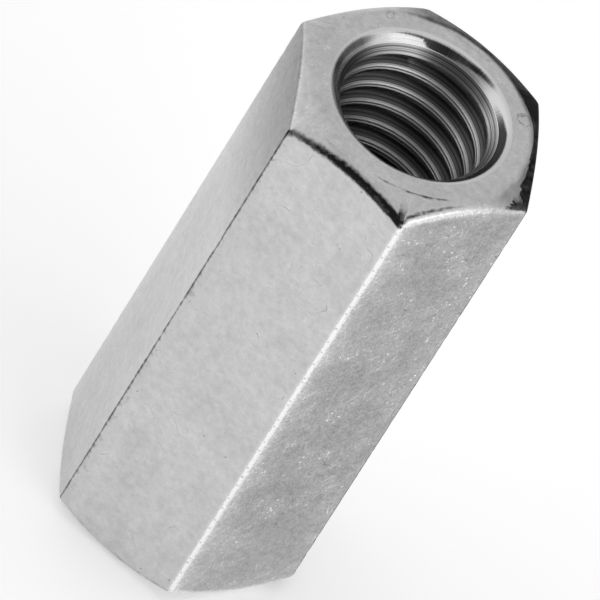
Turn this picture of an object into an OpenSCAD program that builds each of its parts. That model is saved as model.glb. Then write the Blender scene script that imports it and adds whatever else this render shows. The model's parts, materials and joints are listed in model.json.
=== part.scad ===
// Hex coupling nut with a 1/2-13 threaded hole, standing on one of its ends.
// Lengths are in millimetres. The hole runs along Z, and one corner points along X.

/* [Hex bar] */
// Distance across two opposite flats
across_flats = 17.46; // [16.2:0.02:22.2]
// Length from end to end
nut_length = 44.45; // [20:0.05:70]
// Radius of the six long edges
edge_radius = 0.45; // [0.1:0.05:1.2]

/* [Ends] */
// How far the flat ring at each end stops short of the flats
ring_inset = 0.78; // [0.1:0.02:1.6]
// Slope of the end chamfer, in degrees from the end face
chamfer_angle = 30; // [10:1:45]

/* [Threaded hole] */
// Outside diameter of the screw that fits the thread
thread_d = 12.7; // [8:0.05:13.5]
// Number of threads in an inch of length
threads_per_inch = 13; // [10:1:20]
// Share of the full thread depth that is cut
thread_share = 0.78; // [0.6:0.01:0.9]
// How much wider the countersink is than the thread
countersink_over = 0.2; // [0:0.05:0.8]
// Angle between opposite sides of the countersink, in degrees
countersink_angle = 90; // [60:5:120]

/* [Hidden] */
$fn = 96;

// The hex bar: discs round its corners, and run into the flats at a slight angle
hex_sides = 6;
side_angle = 360 / hex_sides;
half_side = side_angle / 2;
corner_r = across_flats / 2 / cos(half_side);
run_in_angle = 10;
disc_reach = edge_radius * cos(run_in_angle);
disc_centre = (across_flats / 2 - disc_reach) / cos(half_side);
cut_off = disc_centre + disc_reach * cos(half_side);

// The end chamfer is a cone from the flat ring out past the corners
ring_r = across_flats / 2 - ring_inset;
chamfer_depth = (corner_r - ring_r) * tan(chamfer_angle);

// A sharp V thread loses a quarter of its height to the flats at crest and root
inch = 25.4;
thread_angle = 60;
flats_share = 1 / 4;
thread_pitch = inch / threads_per_inch;
sharp_height = thread_pitch / 2 / tan(thread_angle / 2);
thread_depth = thread_share * (1 - flats_share) * sharp_height;

// The bore stands at the crests of the thread, with a countersink at each mouth
bore_r = thread_d / 2 - thread_depth;
countersink_r = (thread_d + countersink_over) / 2;
countersink_slope = tan(countersink_angle / 2);
countersink_depth = (countersink_r - bore_r) / countersink_slope;

// The hole's cutter runs on past the ends by this much
overcut = 1;

// Hexagon whose corners are rounded: a second hexagon cuts them off, and a disc fills each one
module hex_section() {
    intersection() {
        circle(r = corner_r, $fn = hex_sides);
        union() {
            rotate(half_side) circle(r = cut_off / cos(half_side), $fn = hex_sides);
            for (i = [0 : hex_sides - 1])
                rotate(i * side_angle) translate([disc_centre, 0]) circle(r = edge_radius);
        }
    }
}

// Turned envelope that takes the corners off both ends
module end_chamfers() {
    rotate_extrude()
        polygon([
            [0, 0],
            [ring_r, 0],
            [corner_r, chamfer_depth],
            [corner_r, nut_length - chamfer_depth],
            [ring_r, nut_length],
            [0, nut_length]
        ]);
}

// Bore and its two countersinks, as one cutter
module threaded_hole() {
    mouth_r = countersink_r + overcut * countersink_slope;
    rotate_extrude()
        polygon([
            [0, -overcut],
            [mouth_r, -overcut],
            [bore_r, countersink_depth],
            [bore_r, nut_length - countersink_depth],
            [mouth_r, nut_length + overcut],
            [0, nut_length + overcut]
        ]);
}

module coupling_nut() {
    color("silver")
        difference() {
            intersection() {
                linear_extrude(nut_length) hex_section();
                end_chamfers();
            }
            threaded_hole();
        }
}

coupling_nut();
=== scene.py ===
import json
import math

import bmesh
import bpy
from mathutils import Matrix, Vector, noise


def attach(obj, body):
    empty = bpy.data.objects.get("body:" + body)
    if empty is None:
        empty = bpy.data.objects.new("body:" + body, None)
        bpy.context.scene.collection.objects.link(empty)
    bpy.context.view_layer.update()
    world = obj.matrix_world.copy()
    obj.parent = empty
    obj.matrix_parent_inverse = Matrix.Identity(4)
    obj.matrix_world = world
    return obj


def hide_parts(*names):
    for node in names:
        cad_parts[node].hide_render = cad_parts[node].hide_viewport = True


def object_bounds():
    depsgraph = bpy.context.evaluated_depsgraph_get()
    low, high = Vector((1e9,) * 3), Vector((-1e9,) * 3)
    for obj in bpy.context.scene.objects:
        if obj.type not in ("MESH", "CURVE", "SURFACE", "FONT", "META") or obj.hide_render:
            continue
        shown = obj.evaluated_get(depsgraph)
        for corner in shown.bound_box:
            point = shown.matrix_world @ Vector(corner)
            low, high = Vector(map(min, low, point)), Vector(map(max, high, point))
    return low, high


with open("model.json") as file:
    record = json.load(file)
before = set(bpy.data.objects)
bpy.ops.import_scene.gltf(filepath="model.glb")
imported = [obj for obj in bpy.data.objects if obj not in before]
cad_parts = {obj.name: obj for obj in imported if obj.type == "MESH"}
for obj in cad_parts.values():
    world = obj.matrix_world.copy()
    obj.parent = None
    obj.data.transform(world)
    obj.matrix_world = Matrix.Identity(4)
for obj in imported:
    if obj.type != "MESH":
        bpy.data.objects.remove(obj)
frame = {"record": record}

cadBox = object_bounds()
mm = 0.001
weld = 1e-7                     # points closer than this are one
cutWeld = 1e-6                  # the same for points that the cutters leave
scene = bpy.context.scene
scene.view_settings.view_transform = "Standard"


def linear(hexColour):
    # sRGB hex to the linear values that sockets take
    parts = [int(hexColour[i:i + 2], 16) / 255 for i in (0, 2, 4)]
    return [p / 12.92 if p <= 0.04045 else ((p + 0.055) / 1.055) ** 2.4 for p in parts] + [1.0]


def addNode(tree, kind, settings=None, inputs=None):
    # inputs hold plain values, or another node's output socket to link from
    node = tree.nodes.new(kind)
    for name, value in (settings or {}).items():
        setattr(node, name, value)
    for name, value in (inputs or {}).items():
        if isinstance(value, bpy.types.NodeSocket):
            tree.links.new(value, node.inputs[name])
        else:
            node.inputs[name].default_value = value
    return node


def newMetal(name):
    # a plain metal, its tree and shader, and the place that its patterns read
    mat = bpy.data.materials.new(name)
    mat.use_nodes = True
    tree = mat.node_tree
    shader = tree.nodes["Principled BSDF"]
    shader.inputs["Metallic"].default_value = 1.0
    return mat, tree, shader, addNode(tree, "ShaderNodeTexCoord").outputs["Object"]


def newObject(name, bm):
    mesh = bpy.data.meshes.new(name)
    bm.to_mesh(mesh)
    bm.free()
    obj = bpy.data.objects.new(name, mesh)
    scene.collection.objects.link(obj)
    return obj


def limited(value):
    return max(0.0, min(1.0, value))


def fade(distance, reach):
    # 1 where it starts, and 0 from the reach on
    return max(0.0, 1 - distance / reach)


def degreesApart(a, b):
    return abs((a - b + 180) % 360 - 180)


# The nut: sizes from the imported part, softness of its edges from the photograph
low, high = cadBox
mounts = {m["name"]: m for m in frame["record"]["mounts"]}
sideAngle = 60                  # degrees from one flat to the next
sideTan = math.tan(math.radians(sideAngle / 2))
nut = {
    "length": high[2] - low[2],
    "acrossFlats": high[1] - low[1],
    "edgeRadius": 0.45 * mm,
    "edgeSteps": 6,
    "flatSteps": 24,
    "rows": 148,                # along the length, so that the long edges can take nicks
    "ringInset": 0.78 * mm,
    "chamferAngle": math.radians(30),
    "chamferRows": 6,
    "chamferSoft": 0.28 * mm,   # rounding where the chamfer meets the flats
    "ringSoft": 0.32 * mm,      # rounding where the chamfer meets the end ring
    "softSteps": 4,
    "sharpAngle": math.radians(35),     # an edge that turns by more than this is drawn sharp
}
nut["cornerR"] = nut["acrossFlats"] / 2 / math.cos(math.radians(sideAngle / 2))
nut["ringR"] = nut["acrossFlats"] / 2 - nut["ringInset"]


def chamferDrop(co):
    return max(0.0, math.hypot(co.x, co.y) - nut["ringR"]) * math.tan(nut["chamferAngle"])


def onChamfer(co):
    fromEnd = min(co.z, nut["length"] - co.z)
    return co.xy.length > nut["ringR"] and abs(fromEnd - chamferDrop(co)) < cutWeld


def extrudeRing(bm, edges):
    made = bmesh.ops.extrude_edge_only(bm, edges=edges)["geom"]
    verts = [g for g in made if isinstance(g, bmesh.types.BMVert)]
    inLoop = set(verts)
    loop = [g for g in made if isinstance(g, bmesh.types.BMEdge) and all(v in inLoop for v in g.verts)]
    return verts, loop


def crowdColumns(bm):
    # the columns across each flat crowd towards the long edges, where the wear is
    half = nut["acrossFlats"] / 2
    flatHalf = (half - nut["edgeRadius"]) * sideTan
    for v in bm.verts:
        side = round((math.degrees(math.atan2(v.co.y, v.co.x)) + sideAngle / 2) / sideAngle)
        facing = math.radians(side * sideAngle - sideAngle / 2)
        outward = Vector((math.cos(facing), math.sin(facing), 0))
        sideways = Vector((-outward.y, outward.x, 0))
        across = v.co.dot(sideways)
        if v.co.dot(outward) > half - weld and abs(across) < flatHalf:
            v.co = outward * half + sideways * flatHalf * math.sin(math.pi / 2 * across / flatHalf)


def hexBody():
    # one hexagon with rounded corners, pulled up into a bar whose ends close over a cone
    bm = bmesh.new()
    turn = Matrix.Rotation(math.radians(90), 4, "Z")
    bmesh.ops.create_circle(bm, cap_ends=True, segments=6, radius=nut["cornerR"], matrix=turn)
    bmesh.ops.bevel(bm, geom=bm.verts[:], offset=nut["edgeRadius"] * sideTan,
                    segments=nut["edgeSteps"], profile=0.5, affect="VERTICES", material=-1)
    flats = [e for e in bm.edges if e.calc_length() > nut["edgeRadius"]]
    bmesh.ops.subdivide_edges(bm, edges=flats, cuts=nut["flatSteps"] - 1)
    crowdColumns(bm)
    bmesh.ops.delete(bm, geom=bm.faces[:], context="FACES_ONLY")

    lower = bm.edges[:]
    lowerVerts = bm.verts[:]
    upperVerts, upper = extrudeRing(bm, lower)
    for v in upperVerts:
        v.co.z = nut["length"] - chamferDrop(v.co)
    for v in lowerVerts:
        v.co.z = chamferDrop(v.co)

    for edges, z in ((upper, nut["length"]), (lower, 0.0)):
        verts, ring = extrudeRing(bm, edges)
        for v in verts:
            reach = nut["ringR"] / math.hypot(v.co.x, v.co.y)
            v.co = (v.co.x * reach, v.co.y * reach, z)
        bmesh.ops.contextual_create(bm, geom=ring)
    bmesh.ops.bevel(bm, geom=upper + lower, offset=nut["chamferSoft"], segments=nut["softSteps"],
                    profile=0.5, affect="EDGES", material=-1)
    rings = [e for e in bm.edges if all(abs(v.co.xy.length - nut["ringR"]) < weld for v in e.verts)]
    bmesh.ops.bevel(bm, geom=rings, offset=nut["ringSoft"], segments=nut["softSteps"],
                    profile=0.5, affect="EDGES", material=-1)

    # more rows up the chamfers and along the bar, for the wear
    upChamfer = 0.9 * math.cos(nut["chamferAngle"])     # an edge up the chamfer gains this share in radius
    radial = []
    for e in bm.edges:
        inner, outer = [v.co.xy.length for v in e.verts]
        if all(onChamfer(v.co) for v in e.verts) and abs(inner - outer) > upChamfer * e.calc_length():
            radial.append(e)
    bmesh.ops.subdivide_edges(bm, edges=radial, cuts=nut["chamferRows"] - 1, use_grid_fill=True)
    upright = [e for e in bm.edges if e.calc_length() > nut["length"] / 2]
    bmesh.ops.subdivide_edges(bm, edges=upright, cuts=nut["rows"] - 1, use_grid_fill=True)
    bmesh.ops.recalc_face_normals(bm, faces=bm.faces[:])
    wearEdges(bm)
    return newObject("hexBody", bm)


# Wear in the shape itself: nicks along the long edges, and burrs where the end was turned
wear = {
    "edgeFrom": 0.55,           # a long edge starts at this share of the way from flat to corner,
    "edgeDepth": 0.30 * mm,     # and is this deep at most
    "nickDepth": 0.05 * mm,
    "nickLength": 0.9 * mm,
    "nickFrom": 0.12,           # level of the noise at which a nick starts
    "fretDepth": 0.02 * mm,
    "fretLength": 0.32 * mm,
    "burrDepth": 0.10 * mm,
    "burrLength": 1.1 * mm,
    "burrFine": 0.5,            # share of the fine waves in a burr
    "burrDrop": 0.3 * mm,       # burrs are this near the end face,
    "burrReach": 0.45 * mm,     # and this near the ring's edge
}


def wearEdges(bm):
    half = nut["acrossFlats"] / 2
    for v in bm.verts:
        r = v.co.xy.length
        beyondFlat = r - half - wear["edgeFrom"] * (nut["cornerR"] - half)
        fromEnd = min(v.co.z, nut["length"] - v.co.z)
        if beyondFlat > 0 and nut["cornerR"] - r < wear["edgeDepth"]:
            nick = max(0.0, noise.noise(v.co / wear["nickLength"]) - wear["nickFrom"]) * wear["nickDepth"]
            fret = max(0.0, noise.noise(v.co / wear["fretLength"])) * wear["fretDepth"]
            v.co.xy *= 1 - (nick + fret) / r
        elif fromEnd < wear["burrDrop"] and abs(r - nut["ringR"]) < wear["burrReach"]:
            wave = noise.noise(v.co / wear["burrLength"])
            wave += wear["burrFine"] * noise.noise(v.co / wear["fretLength"])
            v.co.xy *= 1 + wave * wear["burrDepth"] / r


# The thread: 13 to the inch, rolled by a forming tap, so each crest is split by a thin seam
thread = {
    "pitch": 25.4 / 13 * mm,
    "crestR": mounts["upper_thread"]["dims"]["r_mm"] * mm,
    "rootR": 6.35 * mm,
    "seam": 0.12 * mm,          # depth of the seam, then how far out and up or down the crest's edge runs
    "crestAbove": ((0.03, 0.045), (0.0, 0.09), (0.0, 0.14), (0.03, 0.20), (0.10, 0.26)),
    "crestBelow": ((0.03, 0.045), (0.0, 0.10), (0.0, 0.34), (0.03, 0.44), (0.10, 0.52)),
    "rootSoft": 0.05 * mm,
    "rootHalf": 0.10 * mm,
    "stepsPerTurn": 96,
    "spareTurns": 2,            # the tap goes on past each end by this many turns
    "crestDepth": 3.09 * mm,    # depth of the first whole crest on the wall away from the camera
    "crestSide": math.radians(90 + 11.3),
    "startDepth": (1.25 * mm, 2.20 * mm),  # the grooves grow to full depth between these depths
}


def threadProfile():
    # radius and height over one pitch, from crest seam to crest seam
    t = thread
    above = [(t["crestR"] + out * mm, up * mm) for out, up in t["crestAbove"]]
    below = [(t["crestR"] + out * mm, t["pitch"] - down * mm) for out, down in reversed(t["crestBelow"])]
    root = (above[-1][1] + below[0][1]) / 2
    groove = [(t["rootR"] - t["rootSoft"], root - t["rootHalf"]), (t["rootR"], root - t["rootHalf"] / 2),
              (t["rootR"], root + t["rootHalf"] / 2), (t["rootR"] - t["rootSoft"], root + t["rootHalf"])]
    seam = t["crestR"] + t["seam"]
    return [(seam, 0.0)] + above + groove + below + [(seam, t["pitch"])]


def tapCutter():
    t = thread
    turns = math.ceil(nut["length"] / t["pitch"]) + 2 * t["spareTurns"]
    crestZ = nut["length"] - t["crestDepth"]
    rise = t["pitch"] * t["crestSide"] / (2 * math.pi)   # the helix climbs this far to the wall it is set by
    start = crestZ - rise - t["pitch"] * (math.ceil(crestZ / t["pitch"]) + t["spareTurns"])
    bm = bmesh.new()
    verts = [bm.verts.new((r, 0, start + z)) for r, z in threadProfile()]
    edges = [bm.edges.new(pair) for pair in zip(verts, verts[1:])]
    bmesh.ops.spin(bm, geom=verts + edges, cent=(0, 0, 0), axis=(0, 0, 1),
                   dvec=(0, 0, t["pitch"] / t["stepsPerTurn"]), angle=2 * math.pi, steps=t["stepsPerTurn"])
    oneTurn = bm.verts[:] + bm.edges[:] + bm.faces[:]
    for i in range(1, turns):
        copy = bmesh.ops.duplicate(bm, geom=oneTurn)["geom"]
        bmesh.ops.translate(bm, vec=(0, 0, t["pitch"] * i),
                            verts=[g for g in copy if isinstance(g, bmesh.types.BMVert)])
    bmesh.ops.remove_doubles(bm, verts=bm.verts[:], dist=weld)

    # near the ends the grooves run out, and the tap is a plain shank
    shallow, full = t["startDepth"]
    for v in bm.verts:
        depth = min(v.co.z, nut["length"] - v.co.z)
        share = limited((depth - shallow) / (full - shallow))
        r = v.co.xy.length
        v.co.xy *= (t["crestR"] + (r - t["crestR"]) * share) / r
    rims = [e for e in bm.edges if e.is_boundary]
    for end, z in ((-1, start - t["pitch"]), (1, start + t["pitch"] * (turns + t["spareTurns"]))):
        rim = [e for e in rims if (e.verts[0].co.z - nut["length"] / 2) * end > 0]
        tip, _ = extrudeRing(bm, rim)
        bmesh.ops.pointmerge(bm, verts=tip, merge_co=(0, 0, z))
    bmesh.ops.recalc_face_normals(bm, faces=bm.faces[:])
    return newObject("tapCutter", bm)


# The mouths: a rolled lip, a countersink, and a turned slope down to the first thread
mouth = {
    "lipStart": 6.76 * mm,
    "lipRadius": 0.75 * mm,
    "lipSteps": 10,
    "sinkTilt": math.radians(45),
    "sinkRun": 0.40 * mm,
    "sinkSteps": 4,
    "slopeTilt": math.radians(55),
    "slopeEnd": 5.1 * mm,
    "lift": 0.012 * mm,         # the lip's arc crosses the end face at a slight angle
    "overcut": 1.0 * mm,
    "sides": 192,
    "endFace": 0.001 * mm,      # a face this near the end is plated, not turned
    "nearOutline": 0.02 * mm,   # a face is turned if it lies this near the outline,
    "leastTilt": 0.3,           # and faces up or down by at least this much
}


def mouthOutline():
    # radius and height over the end face, from the lip down to the thread
    m = mouth
    outline = []
    for i in range(m["lipSteps"] + 1):
        a = m["sinkTilt"] * i / m["lipSteps"]
        outline.append((m["lipStart"] - m["lipRadius"] * math.sin(a),
                        m["lift"] - m["lipRadius"] * (1 - math.cos(a))))
    step = m["sinkRun"] / m["sinkSteps"]
    for i in range(m["sinkSteps"]):
        r, h = outline[-1]
        outline.append((r - step, h - step * math.tan(m["sinkTilt"])))
    r, h = outline[-1]
    outline.append((m["slopeEnd"], h - (r - m["slopeEnd"]) * math.tan(m["slopeTilt"])))
    return outline


lipOutline = mouthOutline()
slopeR = lipOutline[-2][0]      # the slope starts at this radius


def mouthCutters():
    m = mouth
    outline = [(0, m["overcut"]), (m["lipStart"], m["overcut"])] + lipOutline + [(0, lipOutline[-1][1])]
    made = []
    for name, z, sign in (("upperMouth", nut["length"], 1), ("lowerMouth", 0.0, -1)):
        bm = bmesh.new()
        verts = [bm.verts.new((r, 0, z + sign * h)) for r, h in outline]
        edges = [bm.edges.new(pair) for pair in zip(verts, verts[1:])]
        bmesh.ops.spin(bm, geom=verts + edges, cent=(0, 0, 0), axis=(0, 0, 1), angle=2 * math.pi,
                       steps=m["sides"], use_merge=True)
        bmesh.ops.remove_doubles(bm, verts=bm.verts[:], dist=weld)
        bmesh.ops.recalc_face_normals(bm, faces=bm.faces[:])
        made.append(newObject(name, bm))
    return made


def finishOf(face):
    # 0 zinc plate outside, 1 tapped steel in the hole, 2 turned steel in the mouths
    centre = face.calc_center_median()
    r = centre.xy.length
    deep = min(centre.z, nut["length"] - centre.z)
    if r > mouth["lipStart"] or deep < mouth["endFace"]:
        return 0
    for (r0, h0), (r1, h1) in zip(lipOutline, lipOutline[1:]):
        if r1 <= r <= r0:
            away = abs(deep + h0 + (h1 - h0) * (r0 - r) / (r0 - r1))
            return 2 if away < mouth["nearOutline"] and abs(face.normal.z) > mouth["leastTilt"] else 1
    return 1


def cutNut():
    body = hexBody()
    cutters = [tapCutter()] + mouthCutters()
    for cutter in cutters:
        cut = body.modifiers.new(cutter.name, "BOOLEAN")
        cut.operation = "DIFFERENCE"
        cut.solver = "MANIFOLD"
        cut.object = cutter
    graph = bpy.context.evaluated_depsgraph_get()
    mesh = bpy.data.meshes.new_from_object(body.evaluated_get(graph))
    for old in [body] + cutters:
        bpy.data.objects.remove(old)
    bm = bmesh.new()
    bm.from_mesh(mesh)
    bmesh.ops.remove_doubles(bm, verts=bm.verts[:], dist=cutWeld)
    bmesh.ops.recalc_face_normals(bm, faces=bm.faces[:])
    bm.normal_update()
    for f in bm.faces:
        f.smooth = True
        f.material_index = finishOf(f)
    for e in bm.edges:
        soft = len(e.link_faces) == 2 and e.calc_face_angle() < nut["sharpAngle"]
        finishes = {f.material_index for f in e.link_faces}
        e.smooth = soft and finishes != {1, 2}      # the slope ends sharply at the thread
    print("nut", len(bm.verts), "verts", len(bm.faces), "faces", sum(len(f.verts) - 2 for f in bm.faces),
          "triangles, open edges", sum(1 for e in bm.edges if len(e.link_faces) != 2))
    return newObject("couplingNut", bm)


nutObject = cutNut()
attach(nutObject, "root")
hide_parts("coupling_nut")
weighted = nutObject.modifiers.new("flatNormals", "WEIGHTED_NORMAL")
weighted.keep_sharp = True

# How each flat and each long edge was used, and where painted light and shade fall on them, by the angle that
# it faces in degrees
handling = {
    # how handled each flat is; this also paints some flats darker than others, as painted shade
    "flats": {-30: 1.0, 30: 0.55, 90: 0.25, 150: 0.45, -150: 0.2, -90: 0.12},
    "ends": 0.30,
    # how brightly each long edge is rubbed: partly real wear, partly a painted highlight
    "rubbedAndLit": {-60: 1.0, 0: 0.15, 60: 0.4, 120: 0.8, 180: 0.5, -120: 0.2},
    # how dark the line along each long edge is
    "grimeAndShade": {-60: 0.28, 0: 1.0, 60: 0.5, 120: 0.3, 180: 0.4, -120: 0.85},
    # a painted highlight along each rim
    "rimHighlight": {-30: 0.82, 30: 0.1, 90: 0.1, 150: 0.3, -150: 0.5, -90: 0.0},
    # grime and painted shade on each rim
    "rimGrimeAndShade": {-30: 0.2, 30: 0.6, 90: 0.5, 150: 0.3, -150: 0.1, -90: 1.0},
    "flatFrom": 0.03 * mm,      # a flat starts this far below the chamfer,
    "flatDepth": 0.2 * mm,      # and its points lie this deep at most
    "core": (0.36 * mm, 0.50),  # a rubbed edge, partly a painted highlight, is bright this far to each side, and by this much, the painted highlight fades here, and leaves a faint painted sheen up to here
    "glow": (1.10 * mm, 0.20),  # fades here,
    "sheen": (3.0 * mm, 0.36),  # and leaves a faint sheen up to here
    "cleanFlat": -90,           # on this flat the bright edge ends sharply,
    "cleanCore": (0.20 * mm, 0.50),
    "beadFrom": 0.03 * mm,      # with a few small dents along it
    "beadHalf": 0.08 * mm,
    "edgeLine": 0.9,            # a dark line covers this share of a rounded edge
    "smudgedEdge": -120,        # dirt spreads from this edge over the clean flat
    "smudge": 0.40,
    "smudgeReach": 1.5 * mm,
    "rimReach": 0.55 * mm,
    "rimDrop": 0.1 * mm,
    "rimHighlightShare": (0.6, 0.4),       # on every rim, and what the bright corner adds
    "rimGrimeAndShadeShare": (0.75, 0.5),
    "lowerRim": 0.35,           # the lower end's rim is less dark
    "rimLine": 0.45 * mm,       # a dark line of painted shade stays this far inside the bright rim
    "rimLineHalf": 0.25 * mm,
    "ringLine": (-58, 34, 22, 0.66),    # angles: middle, span to each side, soft part; then strength
    "ringLineHalf": 0.18 * mm,
    "roughShadedChamfer": (-26, 54, 16, 0.36),     # these chamfers are rough, and painted darker as painted shade
    "darkCorner": (-62, 6, 4, 0.8),     # darker in the corner of the chamfer, from this far outside the ring
    "darkCornerFrom": 1.5 * mm,         # from this far outside the ring
    # painted shade on the far chamfers: angle, how far outside the ring it starts in mm, strength
    "darkChamfer": ((-14, 1.1, 0.0), (-6, 1.1, 1.0), (6, 0.6, 1.0), (16, 0.30, 1.0), (44, 0.26, 1.0),
                    (58, 0.2, 0.9), (68, 0.1, 0.0)),
    # and where painted shade darkens them less
    "duskChamfer": ((48, 0.1, 0.0), (62, -0.20, 1.20), (120, -0.35, 1.15), (140, 0.0, 0.0)),
    "duskSoft": 0.24 * mm,
    # the painted highlight on the rims is strongest towards this corner
    "highlightCorner": -60,
    "lightenedFlat": -30,         # this flat is painted lighter towards its lower end, as painted light
    "lowerLightened": 0.35,
    "lowerLength": 12 * mm,
    "shadedFlat": -150,         # this flat is painted darker towards its upper end, as painted shade
    "shadedLength": 14 * mm,
    # painted dark reflections in the mouths: angle, depth of its middle and half its width in mm, strength
    "mouthShade": (
        ((-48, 0.41, 0.23, 0.0), (-34, 0.41, 0.23, 1.0), (32, 0.42, 0.21, 1.0), (46, 0.47, 0.15, 0.6),
         (64, 0.53, 0.06, 0.0)),
        ((60, 0.10, 0.0, 0.0), (72, 0.14, 0.04, 0.65), (82, 0.20, 0.08, 0.85), (92, 0.29, 0.12, 0.65),
         (101, 0.35, 0.17, 0.72), (112, 0.39, 0.20, 0.92), (119, 0.36, 0.17, 0.85), (124, 0.18, 0.01, 0.8),
         (134, 0.15, 0.0, 0.7), (150, 0.13, 0.0, 0.0)),
        ((142, 0.26, 0.02, 0.0), (168, 0.26, 0.14, 0.56), (200, 0.22, 0.13, 0.56), (236, 0.16, 0.04, 0.0)),
    ),
    "mouthSoft": 0.12 * mm,
    "mouthOverlap": 0.01 * mm,
    # painted shade on the slope below: angle, strength
    "slopeShade": ((48, 0.0), (66, 0.75), (112, 0.75), (126, 0.15), (150, 0.3), (178, 0.8), (200, 0.8),
                   (220, 0.0)),
}


def along(path, angle):
    # the numbers of a path at this angle, or nothing before and after it
    angle = (angle - path[0][0]) % 360 + path[0][0]
    for start, end in zip(path, path[1:]):
        if start[0] <= angle <= end[0]:
            share = (angle - start[0]) / (end[0] - start[0])
            return [a + (b - a) * share for a, b in zip(start[1:], end[1:])]
    return None


def within(angle, middle, span, soft, strength):
    return strength * limited((span - degreesApart(angle, middle)) / soft)


def markWear(obj):
    # numbers on every vertex: how handled, rubbed and grimy it is, the painted highlights and painted shade
    # on it, and its place on the thread
    h = handling
    mesh = obj.data
    names = ("handledAndShaded", "burnishAndHighlight", "grimeAndShade", "paintedShade", "beads", "shade", "crest", "crestTop")
    values = {name: [] for name in names}
    half = nut["acrossFlats"] / 2
    reach = half * sideTan
    fillet = nut["edgeRadius"] * sideTan
    crestZ = nut["length"] - thread["crestDepth"]
    bandAbove, bandBelow = thread["crestAbove"][-1][1] * mm, thread["crestBelow"][-1][1] * mm
    for v in mesh.vertices:
        turn = math.atan2(v.co.y, v.co.x)
        angle = math.degrees(turn)
        facing = min(h["flats"], key=lambda f: degreesApart(angle, f))
        corner = min(h["rubbedAndLit"], key=lambda c: degreesApart(angle, c))
        r = v.co.xy.length
        fromEnd = min(v.co.z, nut["length"] - v.co.z)
        across = r * math.sin(math.radians(angle - facing))
        inward = half - r * math.cos(math.radians(angle - facing))
        below = fromEnd - chamferDrop(v.co)
        onFlat = below > h["flatFrom"] and inward < h["flatDepth"]
        toEdge = abs(reach - abs(across))
        toHighlight = fade(degreesApart(angle, h["highlightCorner"]), sideAngle)
        beyondRing = r - nut["ringR"]

        # long edges and rims, with painted highlights and painted shade
        parts = ("core", "cleanCore") if facing == h["cleanFlat"] else ("core", "glow", "sheen")
        edge = sum(share * fade(toEdge, far) for far, share in [h[part] for part in parts])
        line = fade(toEdge, fillet * h["edgeLine"])
        if facing == h["cleanFlat"] and corner == h["smudgedEdge"]:
            line = max(line, h["smudge"] * fade(toEdge, h["smudgeReach"]))
        rim = fade(math.hypot(inward, max(0.0, below - h["rimDrop"])), h["rimReach"])
        rimHighlight = h["rimHighlight"][facing] * (h["rimHighlightShare"][0] + h["rimHighlightShare"][1] * toHighlight)
        rimGrimeAndShade = h["rimGrimeAndShade"][facing] * (h["rimGrimeAndShadeShare"][0] + h["rimGrimeAndShadeShare"][1] * toHighlight)
        if v.co.z < nut["length"] / 2:
            rimGrimeAndShade *= h["lowerRim"]

        # stains and painted shade on the chamfers, and painted dark reflections in the mouths
        stainAndShade = h["rimHighlight"][facing] * toHighlight * fade(abs(inward - h["rimLine"]), h["rimLineHalf"])
        overRim = not onFlat or (angle > 0 and below < nut["chamferSoft"])     # painted shade goes over the far rims
        chamfer = along(h["darkChamfer"], angle) if overRim else None
        if chamfer and beyondRing > chamfer[0] * mm:
            stainAndShade = max(stainAndShade, chamfer[1])
        if not onFlat:
            if beyondRing > h["darkCornerFrom"]:
                stainAndShade = max(stainAndShade, within(angle, *h["darkCorner"]))
            stainAndShade = max(stainAndShade, within(angle, *h["ringLine"]) * fade(abs(beyondRing), h["ringLineHalf"]))
        # painted dark reflections on the lips of the mouths
        if slopeR - h["mouthOverlap"] < r < mouth["lipStart"]:
            for path in h["mouthShade"]:
                lipShade = along(path, angle)
                if lipShade:
                    middle, width, strength = lipShade
                    outside = max(0.0, abs(fromEnd - middle * mm) - width * mm)
                    stainAndShade = max(stainAndShade, strength * fade(outside, h["mouthSoft"]))

        handledAndShaded = h["flats"][facing] if onFlat else h["ends"]
        if onFlat and facing == h["lightenedFlat"]:
            handledAndShaded *= 1 - h["lowerLightened"] * fade(v.co.z, h["lowerLength"])
        if not onFlat and beyondRing > 0:
            handledAndShaded = max(handledAndShaded, within(angle, *h["roughShadedChamfer"])) * (1 - stainAndShade)
        # painted shade on the upper part of one flat and on the far chamfers
        paintedShade = 0.0
        if onFlat and facing == h["shadedFlat"]:
            paintedShade = fade(nut["length"] - v.co.z, h["shadedLength"])
        dusk = along(h["duskChamfer"], angle) if overRim else None
        if dusk:
            paintedShade = dusk[1] * limited((beyondRing - dusk[0] * mm) / h["duskSoft"])
        beaded = onFlat and facing == h["cleanFlat"] and corner == h["highlightCorner"]

        values["handledAndShaded"].append(handledAndShaded)
        values["paintedShade"].append(paintedShade)
        values["shade"].append((along(h["slopeShade"], angle) or [0.0])[0])
        values["burnishAndHighlight"].append(max(h["rubbedAndLit"][corner] * edge if onFlat else 0.0, rimHighlight * rim))
        values["grimeAndShade"].append(max(h["grimeAndShade"][corner] * line if onFlat else 0.0, rimGrimeAndShade * rim, stainAndShade))
        values["beads"].append(fade(abs(toEdge - h["beadFrom"]), h["beadHalf"]) if beaded else 0.0)

        # height over the nearest seam below or above, then closeness to the middle of the crest
        turns = (v.co.z - crestZ) / thread["pitch"] - (turn - thread["crestSide"]) / (2 * math.pi)
        up = (turns - round(turns)) * thread["pitch"]
        middle = (bandAbove - bandBelow) / 2
        gap = abs((up - middle + thread["pitch"] / 2) % thread["pitch"] - thread["pitch"] / 2)
        values["crest"].append(1 - gap / (thread["pitch"] / 2))
        values["crestTop"].append(limited(1 + up / bandBelow))
    for name, column in values.items():
        mesh.attributes.new(name, "FLOAT", "POINT").data.foreach_set("value", column)
    print("wear", ", ".join(names), "on", len(mesh.vertices), "vertices")


markWear(nutObject)
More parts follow.
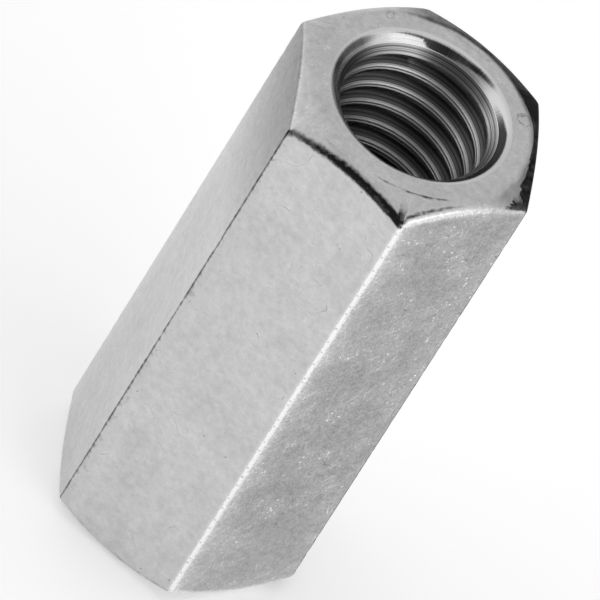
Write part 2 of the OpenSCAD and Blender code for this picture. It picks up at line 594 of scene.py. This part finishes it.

# Bright zinc plate over cold drawn bar: cloudy grey metal, fine streaks along the bar, bright rubbed edges
# with painted highlights, painted shade on some faces, and dents with painted glints where the nut was
# tumbled against others
zinc = {
    "tones": {0.0: "262626", 0.35: "9a9a9a", 0.65: "cccccc", 0.8: "e0e0e0", 1.0: "fafafa"},
    "noises": {                 # size, detail, roughness
        "cloud": (3.5 * mm, 4.0, 0.6),
        "patches": (1.6 * mm, 5.0, 0.65),
        "fine": (0.5 * mm, 3.0, 0.6),
        "ragged": (0.24 * mm, 2.0, 0.6),
        "scuff": (3.4 * mm, 3.0, 0.6),
        "contour": (4.0 * mm, 1.5, 0.5),
    },
    "drawn": {                  # size along each axis, turn, detail, roughness
        "streak": ((0.9 * mm, 0.9 * mm, 4 * mm), (0, 0, 0), 3.0, 0.6),
        # drawn coarser than the real scuffs, so that it shows
        "grain": ((0.15 * mm, 0.15 * mm, 0.28 * mm), (math.radians(25), math.radians(18), 0), 2.0, 0.7),
    },
    "areas": {                  # where a noise passes from the first level to the second
        "hairArea": ("cloud", 0.52, 0.60, "LINEAR"),
        "unbroken": ("fine", 0.46, 0.54, "LINEAR"),
        "curlArea": ("patches", 0.42, 0.50, "LINEAR"),
        "scuffed": ("scuff", 0.42, 0.58, "SMOOTHSTEP"),
        "smudged": ("patches", 0.54, 0.64, "SMOOTHSTEP"),
    },
    "hairHalf": 0.004,          # half the width of a hairline, as a difference in its noise
    "spots": {                  # size of a cell, level above which it holds a spot, share of it that is spot
        "sparkle": (0.6 * mm, 0.5, 0.20),
        "glint": (0.28 * mm, 0.55, 0.28),
        "pit": (1.9 * mm, 0.4, 0.06),
        "speck": (0.7 * mm, 0.45, 0.12),
    },
    "spotCore": 0.4,            # share of a spot's radius that is at full strength
    "beadGap": 1.3 * mm,
    "beadSpread": 0.8,
    "beadSize": (0.085, 0.04),
    "scratch": (0.10 * mm, 0.10 * mm, 1.7 * mm),
    "scratchFrom": (0.69, 0.77),
    "scratchTurns": (-45, -68, 15),     # degrees that each set leans from the bar's length
    "scratchFlat": -30,
    # curls on the upper end: angle and radius of its place, size
    "curls": ((142, 7.75 * mm, 0.34 * mm), (44, 7.6 * mm, 0.5 * mm), (88, 7.75 * mm, 0.5 * mm),
              (101, 7.7 * mm, 0.35 * mm), (-152, 7.8 * mm, 0.3 * mm)),
    "curlHalf": 0.045 * mm,
    "curlWander": 0.9 * mm,
    "edges": {                  # mark, noise that shifts its edge, how far, level of the edge, softness
        "rubbedAndLit": ("burnishAndHighlight", "ragged", 0.90, 0.56, 0.32),
        "dark": ("grimeAndShade", "fine", 0.90, 0.52, 0.30),
    },
    "tone": 0.305,
    "toneMarks": {              # what each pattern adds to the tone
        "cloud": 0.16,
        "streak": 0.06,
        "patches": 0.18,
        "fine": 0.26,
        "grain": 0.05,
        "handledAndShaded": -0.39,
        "handledGrain": 0.42,
        "handledPatches": -0.06,
        "handledCloud": -0.08,
        "tumbled": 0.05,
        "tumbledSparkle": 0.5,
        "tumbledGlint": 0.34,
        "hairlines": -0.20,
        "pit": -0.25,
        "smudgedSpeck": -0.34,
        "smudged": -0.035,
        "paintedShade": -0.42,
        "burnishAndHighlight": 0.32,
        "rubbedAndLit": 0.30,
        "dark": -0.64,
        "beadedDent": -0.80,
        "tumbledScratch": 0.34,
        "brokenCurl": -0.22,
    },
    "roughness": 0.26,
    "roughMarks": {"cloud": 0.16, "handledAndShaded": 0.06, "rubbedAndLit": -0.10, "dark": 0.25},
    "reliefMarks": {"fine": 0.35, "handledGrain": 0.6, "tumbledSparkle": -0.8, "pit": -1.0},
    "bump": (0.6, 0.02 * mm),   # strength, depth
}


def sumMarks(tree, patterns, start, marks):
    total = start
    for name, amount in marks.items():
        total = addNode(tree, "ShaderNodeMath", {"operation": "MULTIPLY_ADD"},
                        {0: patterns[name], 1: amount, 2: total}).outputs[0]
    return total


def zincPlate():
    z = zinc
    mat, tree, shader, at = newMetal("brightZincPlate")
    p = {}                      # every pattern by its name
    for name in ("handledAndShaded", "burnishAndHighlight", "grimeAndShade", "paintedShade", "beads"):
        p[name] = addNode(tree, "ShaderNodeAttribute", {"attribute_name": name}).outputs["Fac"]
    for name, (size, detail, rough) in z["noises"].items():
        look = {"Vector": at, "Scale": 1 / size, "Detail": detail, "Roughness": rough}
        p[name] = addNode(tree, "ShaderNodeTexNoise", None, look).outputs["Fac"]
    for name, (size, turn, detail, rough) in z["drawn"].items():
        laid = addNode(tree, "ShaderNodeMapping", {"vector_type": "TEXTURE"},
                       {"Vector": at, "Scale": size, "Rotation": turn}).outputs[0]
        look = {"Vector": laid, "Scale": 1.0, "Detail": detail, "Roughness": rough}
        p[name] = addNode(tree, "ShaderNodeTexNoise", None, look).outputs["Fac"]
    for name, (source, start, end, kind) in z["areas"].items():
        p[name] = addNode(tree, "ShaderNodeMapRange", {"interpolation_type": kind},
                          {"Value": p[source], "From Min": start, "From Max": end}).outputs[0]

    # hairline marks are contour lines of a noise, kept only in patches
    p["hairline"] = addNode(tree, "ShaderNodeMath", {"operation": "COMPARE"},
                            {0: p["contour"], 1: 0.5, 2: z["hairHalf"]}).outputs[0]

    # dents: one cell in a few holds a small round spot; the sparkles and glints are real dents with painted
    # glints
    for name, (size, keep, radius) in z["spots"].items():
        cell = addNode(tree, "ShaderNodeTexVoronoi", None, {"Vector": at, "Scale": 1 / size})
        chosen = addNode(tree, "ShaderNodeMath", {"operation": "GREATER_THAN"},
                         {0: cell.outputs["Color"], 1: keep}).outputs[0]
        spot = addNode(tree, "ShaderNodeMapRange", None,
                       {"Value": cell.outputs["Distance"], "From Min": radius,
                        "From Max": radius * z["spotCore"]}).outputs[0]
        p[name] = addNode(tree, "ShaderNodeMath", {"operation": "MULTIPLY"}, {0: spot, 1: chosen}).outputs[0]

    # the row of dents beside the brightest edge
    height = addNode(tree, "ShaderNodeSeparateXYZ", None, {0: at}).outputs["Z"]
    row = addNode(tree, "ShaderNodeTexVoronoi", {"voronoi_dimensions": "1D"},
                  {"W": height, "Scale": 1 / z["beadGap"], "Randomness": z["beadSpread"]}).outputs["Distance"]
    p["dent"] = addNode(tree, "ShaderNodeMapRange", None,
                        {"Value": row, "From Min": z["beadSize"][0], "From Max": z["beadSize"][1]}).outputs[0]

    # three sets of scratches on the tumbled flat
    p["scratch"] = 0.0
    for lean in z["scratchTurns"]:
        leaning = (math.radians(lean), 0, math.radians(z["scratchFlat"]))
        slanted = addNode(tree, "ShaderNodeMapping", {"vector_type": "TEXTURE"},
                          {"Vector": at, "Scale": z["scratch"], "Rotation": leaning}).outputs[0]
        strand = addNode(tree, "ShaderNodeTexNoise", None,
                         {"Vector": slanted, "Scale": 1.0, "Detail": 1.0}).outputs["Fac"]
        thin = addNode(tree, "ShaderNodeMapRange", None,
                       {"Value": strand, "From Min": z["scratchFrom"][0],
                        "From Max": z["scratchFrom"][1]}).outputs[0]
        p["scratch"] = addNode(tree, "ShaderNodeMath", {"operation": "ADD"},
                               {0: thin, 1: p["scratch"]}).outputs[0]

    # curls that the turning tool left on the upper end, bent by a noise
    wavy = addNode(tree, "ShaderNodeTexNoise", None,
                   {"Vector": at, "Scale": 1 / z["noises"]["fine"][0]}).outputs["Color"]
    wander = addNode(tree, "ShaderNodeVectorMath", {"operation": "MULTIPLY_ADD"},
                     {0: wavy, 1: (z["curlWander"],) * 3, 2: at}).outputs[0]
    p["curl"] = 0.0
    for angle, r, size in z["curls"]:
        centre = Vector((r * math.cos(math.radians(angle)), r * math.sin(math.radians(angle)), nut["length"]))
        centre += Vector((0.5, 0.5, 0.5)) * z["curlWander"]      # the noise shifts it by half its reach
        away = addNode(tree, "ShaderNodeVectorMath", {"operation": "DISTANCE"},
                       {0: wander, 1: centre}).outputs["Value"]
        ring = addNode(tree, "ShaderNodeMath", {"operation": "COMPARE"},
                       {0: away, 1: size, 2: z["curlHalf"]}).outputs[0]
        p["curl"] = addNode(tree, "ShaderNodeMath", {"operation": "ADD"}, {0: ring, 1: p["curl"]}).outputs[0]

    # patterns that show only in some places; scuffed areas hold the scratches and the painted glints
    for name, pattern, where in (
            ("tumbled", "scuffed", "handledAndShaded"), ("tumbledSparkle", "sparkle", "tumbled"),
            ("tumbledGlint", "glint", "tumbled"), ("tumbledScratch", "scratch", "tumbled"),
            ("handledGrain", "grain", "handledAndShaded"), ("handledPatches", "patches", "handledAndShaded"),
            ("handledCloud", "cloud", "handledAndShaded"), ("smudgedSpeck", "speck", "smudged"),
            ("beadedDent", "dent", "beads"), ("brokenCurl", "curl", "curlArea"),
            ("hairlines", "hairline", "hairArea"), ("hairlines", "hairlines", "unbroken")):
        p[name] = addNode(tree, "ShaderNodeMath", {"operation": "MULTIPLY"},
                          {0: p[pattern], 1: p[where]}).outputs[0]

    # rubbed metal with its painted highlight, and grime with painted shade, end in a ragged line, so a noise
    # shifts each before it is cut off
    for name, (mark, shift, reach, edge, soft) in z["edges"].items():
        offset = addNode(tree, "ShaderNodeMath", {"operation": "MULTIPLY_ADD"},
                         {0: p[shift], 1: reach, 2: -reach / 2}).outputs[0]
        shifted = addNode(tree, "ShaderNodeMath", {"operation": "ADD"}, {0: p[mark], 1: offset}).outputs[0]
        p[name] = addNode(tree, "ShaderNodeMapRange", {"interpolation_type": "SMOOTHSTEP"},
                          {"Value": shifted, "From Min": edge - soft, "From Max": edge + soft}).outputs[0]

    ramp = addNode(tree, "ShaderNodeValToRGB", None, {"Fac": sumMarks(tree, p, z["tone"], z["toneMarks"])})
    stops = ramp.color_ramp.elements
    for place, colour in z["tones"].items():
        stop = stops[0] if place == 0 else stops[-1] if place == 1 else stops.new(place)
        stop.position = place
        stop.color = linear(colour)
    tree.links.new(ramp.outputs["Color"], shader.inputs["Base Color"])
    tree.links.new(sumMarks(tree, p, z["roughness"], z["roughMarks"]), shader.inputs["Roughness"])
    relief = sumMarks(tree, p, 0.0, z["reliefMarks"])
    bump = addNode(tree, "ShaderNodeBump", None,
                   {"Height": relief, "Strength": z["bump"][0], "Distance": z["bump"][1]})
    tree.links.new(bump.outputs["Normal"], shader.inputs["Normal"])
    return mat


# Turned steel: the slope keeps the fine rings of its tool under a thin plate, and the lip above
# it is rolled smooth, so it mirrors the room; with painted dark reflections on the lip, painted shade on the
# slope and a painted highlight on its upper edge
turned = {
    "lip": "d2d2d2",
    # colour of the painted dark reflections on the lip
    "lipShade": "404040",
    "shade": "707070",          # painted shade darkens part of the slope
    "strokes": 70,              # fine strokes across the lip, to the radian
    "strokeShare": 0.5,         # how far they move the edge of the oil
    "lipShadeLevels": (0.35, 1.1),
    "edge": "dcdcdc",
    "edgeHighlightHalf": 0.02 * mm,      # a painted highlight runs along the slope's upper edge
    "rings": ("626262", "dcdcdc"),
    "ringPitch": 0.14 * mm,     # drawn coarser than the real feed, so that it shows
    "ringLevels": (0.32, 0.68),
    "slopeFrom": (0.56 * mm, 0.64 * mm),
    "lipRoughness": 0.20,
    "slopeRoughness": 0.34,
    "bump": (0.35, 0.02 * mm),
}


def turnedRings(tree, at):
    # depth below the nearer end, way out from the axis, radius, and the tool's rings and their colour
    t = turned
    height = addNode(tree, "ShaderNodeSeparateXYZ", None, {0: at}).outputs["Z"]
    fromTop = addNode(tree, "ShaderNodeMath", {"operation": "SUBTRACT"},
                      {0: nut["length"], 1: height}).outputs[0]
    depth = addNode(tree, "ShaderNodeMath", {"operation": "MINIMUM"}, {0: height, 1: fromTop}).outputs[0]
    outward = addNode(tree, "ShaderNodeVectorMath", {"operation": "MULTIPLY"},
                      {0: at, 1: (1, 1, 0)}).outputs[0]
    radius = addNode(tree, "ShaderNodeVectorMath", {"operation": "LENGTH"}, {0: outward}).outputs["Value"]
    lines = addNode(tree, "ShaderNodeTexNoise", {"noise_dimensions": "1D"},
                    {"W": radius, "Scale": 1 / t["ringPitch"], "Detail": 3.0,
                     "Roughness": 0.75}).outputs["Fac"]
    rings = addNode(tree, "ShaderNodeMapRange", None,
                    {"Value": lines, "From Min": t["ringLevels"][0],
                     "From Max": t["ringLevels"][1]}).outputs[0]
    ringed = addNode(tree, "ShaderNodeMix", {"data_type": "RGBA"},
                     {0: rings, 6: linear(t["rings"][0]), 7: linear(t["rings"][1])}).outputs[2]
    return depth, outward, radius, rings, ringed


def turnedSteel():
    t = turned
    mat, tree, shader, at = newMetal("turnedSteel")
    depth, outward, radius, rings, ringed = turnedRings(tree, at)
    slope = addNode(tree, "ShaderNodeMapRange", None,
                    {"Value": depth, "From Min": t["slopeFrom"][0], "From Max": t["slopeFrom"][1]}).outputs[0]
    shade = addNode(tree, "ShaderNodeAttribute", {"attribute_name": "shade"}).outputs["Fac"]
    shaded = addNode(tree, "ShaderNodeMix", {"data_type": "RGBA", "blend_type": "MULTIPLY"},
                     {0: shade, 6: ringed, 7: linear(t["shade"])}).outputs[2]
    clean = addNode(tree, "ShaderNodeMix", {"data_type": "RGBA"},
                    {0: slope, 6: linear(t["lip"]), 7: shaded}).outputs[2]

    # painted dark reflections on the lip, with an edge that the strokes break up
    grimeAndShade = addNode(tree, "ShaderNodeAttribute", {"attribute_name": "grimeAndShade"}).outputs["Fac"]
    spoke = addNode(tree, "ShaderNodeVectorMath", {"operation": "NORMALIZE"}, {0: outward}).outputs[0]
    strokes = addNode(tree, "ShaderNodeTexNoise", None,
                      {"Vector": spoke, "Scale": t["strokes"], "Detail": 2.0,
                       "Roughness": 0.7}).outputs["Fac"]
    shifted = addNode(tree, "ShaderNodeMath", {"operation": "MULTIPLY_ADD"},
                      {0: strokes, 1: t["strokeShare"], 2: grimeAndShade}).outputs[0]
    lipShaded = addNode(tree, "ShaderNodeMapRange", {"interpolation_type": "SMOOTHSTEP"},
                    {"Value": shifted, "From Min": t["lipShadeLevels"][0],
                     "From Max": t["lipShadeLevels"][1]}).outputs[0]
    onLip = addNode(tree, "ShaderNodeMath", {"operation": "GREATER_THAN"}, {0: radius, 1: slopeR}).outputs[0]
    lipShadeMask = addNode(tree, "ShaderNodeMath", {"operation": "MULTIPLY"}, {0: lipShaded, 1: onLip}).outputs[0]
    darkened = addNode(tree, "ShaderNodeMix", {"data_type": "RGBA"},
                   {0: lipShadeMask, 6: clean, 7: linear(t["lipShade"])}).outputs[2]
    # a painted highlight along the slope's upper edge
    onEdgeHighlight = addNode(tree, "ShaderNodeMath", {"operation": "COMPARE"},
                     {0: radius, 1: slopeR, 2: t["edgeHighlightHalf"]}).outputs[0]
    colour = addNode(tree, "ShaderNodeMix", {"data_type": "RGBA"}, {0: onEdgeHighlight, 6: darkened, 7: linear(t["edge"])})
    tree.links.new(colour.outputs[2], shader.inputs["Base Color"])
    rough = addNode(tree, "ShaderNodeMapRange", None,
                    {"Value": slope, "To Min": t["lipRoughness"], "To Max": t["slopeRoughness"]}).outputs[0]
    tree.links.new(rough, shader.inputs["Roughness"])
    bump = addNode(tree, "ShaderNodeBump", None,
                   {"Height": rings, "Strength": t["bump"][0], "Distance": t["bump"][1]})
    tree.links.new(bump.outputs["Normal"], shader.inputs["Normal"])
    return mat


# Tapped steel: the grooves are dark, darker deeper in the hole, and only the
# rolled crests are light, with a ragged lower edge and fine lines along the thread
tapped = {
    "crest": ("505050", "f0f0f0"),
    "groove": ("2c2c2c", "6a6a6a"),
    "lines": 14,                # lines from root to crest
    "lineLevels": (0.38, 0.62),
    "streakShare": 0.6,         # how far they, and not the height on the crest, set its tone
    "ragged": 0.16 * mm,
    "crestFrom": (0.53, 0.63),
    "crestRagged": 0.30,
    "startDepth": (1.3 * mm, 1.9 * mm),   # near the mouth the thread keeps the slope's rings
    "rubbedRoughness": 0.30,
    "bump": (0.5, 0.03 * mm),
}


def tappedSteel():
    t = tapped
    mat, tree, shader, at = newMetal("tappedSteel")
    crest = addNode(tree, "ShaderNodeAttribute", {"attribute_name": "crest"}).outputs["Fac"]
    crestTop = addNode(tree, "ShaderNodeAttribute", {"attribute_name": "crestTop"}).outputs["Fac"]
    ragged = addNode(tree, "ShaderNodeTexNoise", None,
                     {"Vector": at, "Scale": 1 / t["ragged"], "Detail": 3.0, "Roughness": 0.6}).outputs["Fac"]
    bitten = addNode(tree, "ShaderNodeMapRange", None,
                     {"Value": crestTop, "To Min": t["crestRagged"], "To Max": 0.0}).outputs[0]
    bite = addNode(tree, "ShaderNodeMath", {"operation": "MULTIPLY"}, {0: ragged, 1: bitten}).outputs[0]
    kept = addNode(tree, "ShaderNodeMath", {"operation": "SUBTRACT"}, {0: crest, 1: bite}).outputs[0]
    onCrest = addNode(tree, "ShaderNodeMapRange", None,
                      {"Value": kept, "From Min": t["crestFrom"][0],
                       "From Max": t["crestFrom"][1]}).outputs[0]
    depth, *_, ringed = turnedRings(tree, at)
    inside = addNode(tree, "ShaderNodeMapRange", None,
                     {"Value": depth, "From Min": t["startDepth"][0],
                      "From Max": t["startDepth"][1]}).outputs[0]
    rubbed = addNode(tree, "ShaderNodeMath", {"operation": "MULTIPLY"}, {0: onCrest, 1: inside}).outputs[0]

    lines = addNode(tree, "ShaderNodeTexNoise", {"noise_dimensions": "1D"},
                    {"W": crest, "Scale": t["lines"], "Detail": 3.0, "Roughness": 0.7}).outputs["Fac"]
    streaky = addNode(tree, "ShaderNodeMapRange", None,
                      {"Value": lines, "From Min": t["lineLevels"][0],
                       "From Max": t["lineLevels"][1]}).outputs[0]
    darkened = addNode(tree, "ShaderNodeMix", {"data_type": "RGBA"},
                   {0: streaky, 6: linear(t["groove"][0]), 7: linear(t["groove"][1])}).outputs[2]
    groove = addNode(tree, "ShaderNodeMix", {"data_type": "RGBA"}, {0: inside, 6: ringed, 7: darkened}).outputs[2]
    shine = addNode(tree, "ShaderNodeMix", {"data_type": "FLOAT"},
                    {0: t["streakShare"], 2: crestTop, 3: streaky}).outputs[0]
    rolled = addNode(tree, "ShaderNodeMix", {"data_type": "RGBA"},
                     {0: shine, 6: linear(t["crest"][0]), 7: linear(t["crest"][1])}).outputs[2]
    colour = addNode(tree, "ShaderNodeMix", {"data_type": "RGBA"}, {0: rubbed, 6: groove, 7: rolled})
    tree.links.new(colour.outputs[2], shader.inputs["Base Color"])
    rough = addNode(tree, "ShaderNodeMapRange", None,
                    {"Value": rubbed, "To Min": turned["slopeRoughness"],
                     "To Max": t["rubbedRoughness"]}).outputs[0]
    tree.links.new(rough, shader.inputs["Roughness"])
    relief = addNode(tree, "ShaderNodeMath", {"operation": "ADD"}, {0: ragged, 1: lines}).outputs[0]
    bump = addNode(tree, "ShaderNodeBump", None,
                   {"Height": relief, "Strength": t["bump"][0], "Distance": t["bump"][1]})
    tree.links.new(bump.outputs["Normal"], shader.inputs["Normal"])
    return mat


for make in (zincPlate, tappedSteel, turnedSteel):
    nutObject.data.materials.append(make())
print("finishes", [m.name for m in nutObject.data.materials])

# Stage: white paper in a pale room that is darker in front, behind and above, and a soft box on the right
stage = {
    "floorHalf": 2.0,
    "paper": "f4f4f4",
    "paperRoughness": 0.9,
    "paperGlow": 0.32,
    "flag": "0c0c0c",
    "flagRoughness": 0.9,
    "flagSize": (0.30, 0.05),
    "flagAt": (0.11, 0.15, 0.026),
    "room": 1.02,
    "darkest": 0.04,
    "lobes": {                   # direction, inner and outer angle in degrees, what it adds to the room
        "darkFront": ((-0.03, -0.84, 0.54), 20, 46, -0.8),
        "darkBack": ((0.1, 1.0, 0.05), 8, 32, -0.8),
        "darkRight": ((0.68, 0.70, 0.20), 10, 32, -0.7),
        "dimLeft": ((-0.69, 0.69, 0.24), 10, 36, -0.25),
        "dimTop": ((0.05, 0.40, 0.915), 22, 60, -0.2),
    },
    "lamps": {
        "rightBox": {"at": (0.488, -0.197, 0.35), "size": (0.46, 0.12), "watts": 0.17},
    },
}
floorMesh = bmesh.new()
bmesh.ops.create_grid(floorMesh, x_segments=1, y_segments=1, size=stage["floorHalf"])
floor = newObject("floor", floorMesh)
paper = bpy.data.materials.new("whitePaper")
paper.use_nodes = True
sheet = paper.node_tree.nodes["Principled BSDF"]
sheet.inputs["Base Color"].default_value = linear(stage["paper"])
sheet.inputs["Roughness"].default_value = stage["paperRoughness"]
sheet.inputs["Emission Color"].default_value = linear("ffffff")

# the paper glows for the camera and in the metal, but lights nothing
path = addNode(paper.node_tree, "ShaderNodeLightPath")
seen = path.outputs["Is Camera Ray"]
for ray in ("Is Glossy Ray", "Is Transmission Ray"):
    seen = addNode(paper.node_tree, "ShaderNodeMath", {"operation": "MAXIMUM"},
                   {0: seen, 1: path.outputs[ray]}).outputs[0]
glow = addNode(paper.node_tree, "ShaderNodeMath", {"operation": "MULTIPLY"},
               {0: seen, 1: stage["paperGlow"]}).outputs[0]
paper.node_tree.links.new(glow, sheet.inputs["Emission Strength"])
floor.data.materials.append(paper)

# a black flag behind the nut, seen only in the metal, keeps the far chamfers dark
flagMesh = bmesh.new()
bmesh.ops.create_grid(flagMesh, x_segments=1, y_segments=1, size=0.5)
bmesh.ops.scale(flagMesh, vec=(*stage["flagSize"], 1), verts=flagMesh.verts[:])
bmesh.ops.rotate(flagMesh, matrix=Matrix.Rotation(math.radians(90), 3, "X"), verts=flagMesh.verts[:])
bmesh.ops.translate(flagMesh, vec=stage["flagAt"], verts=flagMesh.verts[:])
flag = newObject("blackFlag", flagMesh)
cloth = bpy.data.materials.new("blackCloth")
cloth.use_nodes = True
weave = cloth.node_tree.nodes["Principled BSDF"]
weave.inputs["Base Color"].default_value = linear(stage["flag"])
weave.inputs["Roughness"].default_value = stage["flagRoughness"]
flag.data.materials.append(cloth)
flag.visible_camera = False
flag.visible_diffuse = False
flag.visible_shadow = False

world = bpy.data.worlds.new("studio")
scene.world = world
world.use_nodes = True
room = world.node_tree
toward = addNode(room, "ShaderNodeTexCoord").outputs["Generated"]
level = stage["room"]
for direction, inner, outer, amount in stage["lobes"].values():
    nearness = addNode(room, "ShaderNodeVectorMath", {"operation": "DOT_PRODUCT"},
                       {0: toward, 1: Vector(direction).normalized()}).outputs["Value"]
    lobe = addNode(room, "ShaderNodeMapRange", {"interpolation_type": "SMOOTHSTEP"},
                   {"Value": nearness, "From Min": math.cos(math.radians(outer)),
                    "From Max": math.cos(math.radians(inner)), "To Max": amount}).outputs[0]
    level = addNode(room, "ShaderNodeMath", {"operation": "ADD"}, {0: level, 1: lobe}).outputs[0]
room.nodes["Background"].inputs["Color"].default_value = linear("ffffff")
level = addNode(room, "ShaderNodeMath", {"operation": "MAXIMUM"}, {0: level, 1: stage["darkest"]}).outputs[0]
room.links.new(level, room.nodes["Background"].inputs["Strength"])

aim = Vector((0, 0, nut["length"] / 2))
for name, lamp in stage["lamps"].items():
    light = bpy.data.lights.new(name, "AREA")
    light.shape = "RECTANGLE"
    light.size, light.size_y = lamp["size"]
    light.energy = lamp["watts"]
    obj = bpy.data.objects.new(name, light)
    obj.location = lamp["at"]
    obj.rotation_euler = (Vector(lamp["at"]) - aim).to_track_quat("Z", "Y").to_euler()
    scene.collection.objects.link(obj)
print("stage", floor.name, flag.name, list(stage["lobes"]), list(stage["lamps"]))

# Camera: long lens, rolled so that the nut leans as it does in the photograph
view = {
    "azimuth": math.radians(11.35),
    "elevation": math.radians(45.2),
    "lean": math.radians(32.32),
    "lens": 1000.0,
    "sensor": 36.0,
    "pixels": 600,
    "upperEnd": (421.6, 105.6),   # pixel of the middle of the upper end
    "pixelsPerMm": 14.88,
}


def makeCamera():
    a, e = view["azimuth"], view["elevation"]
    back = Vector((math.sin(a) * math.cos(e), -math.cos(a) * math.cos(e), math.sin(e)))
    level = Vector((math.cos(a), math.sin(a), 0))
    rise = back.cross(level)
    c, s = math.cos(view["lean"]), math.sin(view["lean"])
    right = level * c + rise * s
    up = rise * c - level * s
    focal = view["lens"] / view["sensor"] * view["pixels"]
    scale = mm / view["pixelsPerMm"]
    across = (view["upperEnd"][0] - view["pixels"] / 2) * scale
    upward = (view["pixels"] / 2 - view["upperEnd"][1]) * scale
    spot = Vector((0, 0, nut["length"])) - right * across - up * upward + back * focal * scale
    data = bpy.data.cameras.new("photoCamera")
    data.lens = view["lens"]
    data.sensor_width = view["sensor"]
    camera = bpy.data.objects.new("photoCamera", data)
    turn = Matrix((right, up, back)).transposed().to_4x4()
    camera.matrix_world = Matrix.Translation(spot) @ turn
    scene.collection.objects.link(camera)
    scene.camera = camera
    print("camera at", [round(x, 4) for x in spot])


makeCamera()
